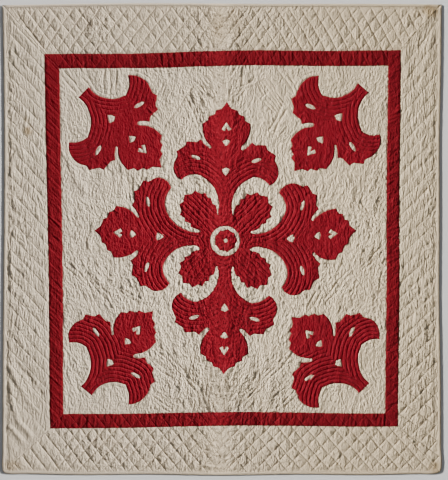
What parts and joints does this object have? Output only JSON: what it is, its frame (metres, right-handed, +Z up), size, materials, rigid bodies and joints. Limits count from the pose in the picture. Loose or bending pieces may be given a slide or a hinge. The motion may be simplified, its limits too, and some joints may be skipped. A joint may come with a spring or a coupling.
{
  "type": "tivaevae quilt",
  "caption": "Quilted cotton coverlet with red leaf applique, a plain sash and a bound edge, spread out flat.",
  "frame": {"origin": "middle of the quilt's bounding box, on the surface that it lies on", "axes": "+Z up out of the quilt's face, +Y towards the top of the design, +X to its right"},
  "size_m": [2, 2.15, 0.0068],
  "materials": {
    "ground_cloth": "unbleached plain-weave cotton, hand quilted, lightly age-stained",
    "binding_cloth": "folded unbleached cotton strip",
    "sash_cloth": "dark red plain-weave cotton, hand quilted",
    "leaf_cloth": "turkey-red plain-weave cotton, echo quilted"
  },
  "bodies": {
    "root": {"quilt_body": "ground_cloth", "binding_right": "binding_cloth", "binding_top": "binding_cloth", "binding_left": "binding_cloth", "binding_bottom": "binding_cloth", "sash_top": "sash_cloth", "sash_right": "sash_cloth", "sash_bottom": "sash_cloth", "sash_left": "sash_cloth", "medallion": "leaf_cloth", "medallion_disc": "leaf_cloth", "corner_leaf_top_left": "leaf_cloth", "corner_leaf_top_right": "leaf_cloth", "corner_leaf_bottom_left": "leaf_cloth", "corner_leaf_bottom_right": "leaf_cloth"}
  },
  "joints": []
}
